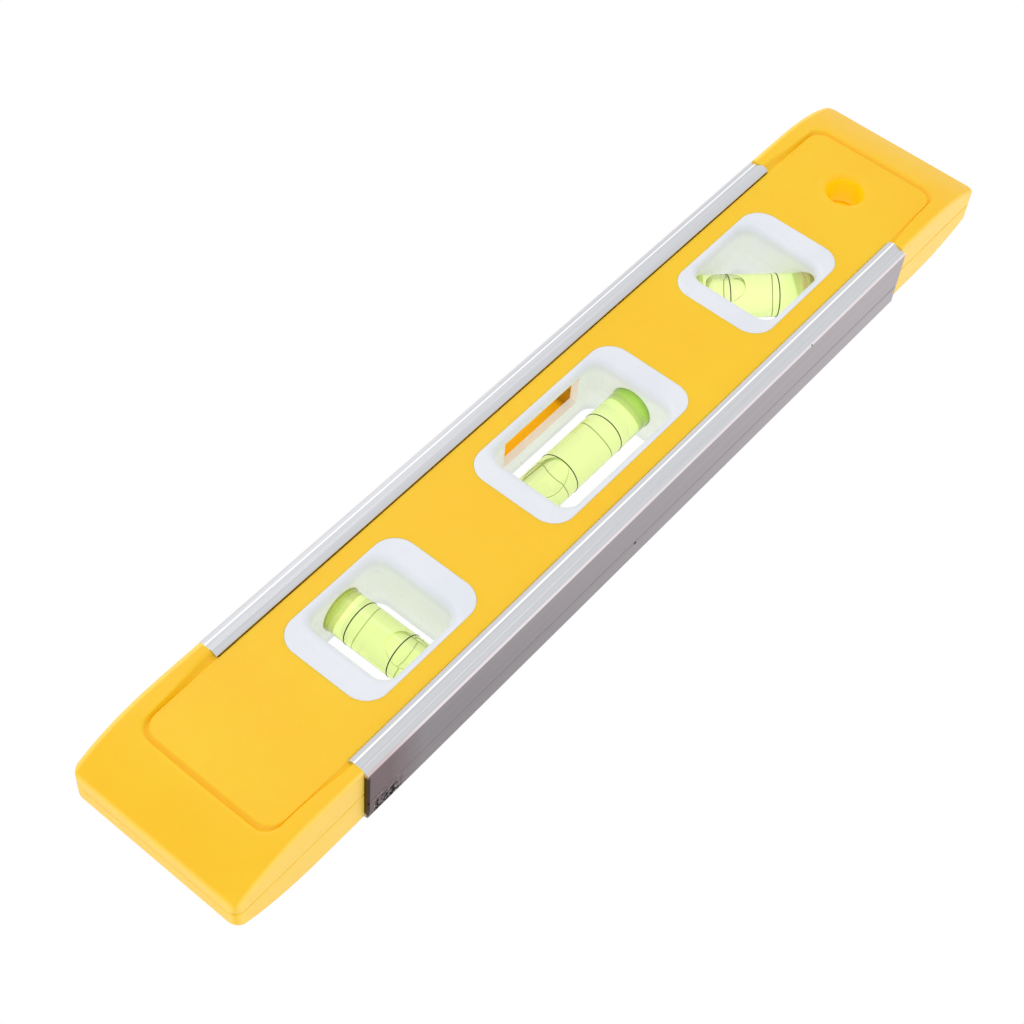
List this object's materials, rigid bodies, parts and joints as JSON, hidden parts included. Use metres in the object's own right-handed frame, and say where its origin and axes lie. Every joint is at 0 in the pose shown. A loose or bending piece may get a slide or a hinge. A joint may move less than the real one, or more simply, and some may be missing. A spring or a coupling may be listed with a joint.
{
  "type": "spirit level",
  "caption": "Pocket spirit level: moulded body edged with metal rails, rounded windows holding level, plumb and diagonal vials, and a hang hole.",
  "frame": {"origin": "under the middle of the level, on the plane that its rails' ridges lie on when it is on its back face", "axes": "+X along the length towards the hang hole, +Y across the width towards the top rail, +Z through the thickness, out of the front face"},
  "size_m": [0.23, 0.0404, 0.0166],
  "materials": {
    "yellow_abs": "fine moulded grain, slightly satin",
    "white_abs": "smooth satin white",
    "aluminium": "brushed lengthwise",
    "clear_acrylic": "polished clear",
    "green_liquid": "clear yellow-green dyed liquid",
    "air": "clear bubble",
    "gauge_line": "thin dark line"
  },
  "bodies": {
    "level_body": {"front_shell": "yellow_abs", "back_shell": "yellow_abs", "top_rail": "aluminium", "bottom_rail": "aluminium", "level_frame_front": "white_abs", "level_frame_back": "white_abs", "level_vial_tube": "clear_acrylic", "level_vial_plug": "clear_acrylic", "level_liquid": "green_liquid", "level_gauge_ring_1": "gauge_line", "level_gauge_ring_2": "gauge_line", "plumb_frame_front": "white_abs", "plumb_frame_back": "white_abs", "plumb_vial_tube": "clear_acrylic", "plumb_vial_plug": "clear_acrylic", "plumb_liquid": "green_liquid", "plumb_gauge_ring_1": "gauge_line", "plumb_gauge_ring_2": "gauge_line", "angle_frame_front": "white_abs", "angle_frame_back": "white_abs", "angle_vial_tube": "clear_acrylic", "angle_vial_plug": "clear_acrylic", "angle_liquid": "green_liquid", "angle_gauge_ring_1": "gauge_line", "angle_gauge_ring_2": "gauge_line"},
    "level_vial_bubble": {"level_bubble": "air"},
    "plumb_vial_bubble": {"plumb_bubble": "air"},
    "angle_vial_bubble": {"angle_bubble": "air"}
  },
  "joints": [
    {"name": "level_bubble_travel", "type": "slide", "parent": "level_body", "child": "level_vial_bubble", "axis": [1, 0, 0], "range_m": [-0.0019, 0.022]},
    {"name": "plumb_bubble_travel", "type": "slide", "parent": "level_body", "child": "plumb_vial_bubble", "axis": [0, 1, 0], "range_m": [-0.0012, 0.0121]},
    {"name": "angle_bubble_travel", "type": "slide", "parent": "level_body", "child": "angle_vial_bubble", "axis": [0.7071, -0.7071, 0], "range_m": [-0.0039, 0.014]}
  ]
}
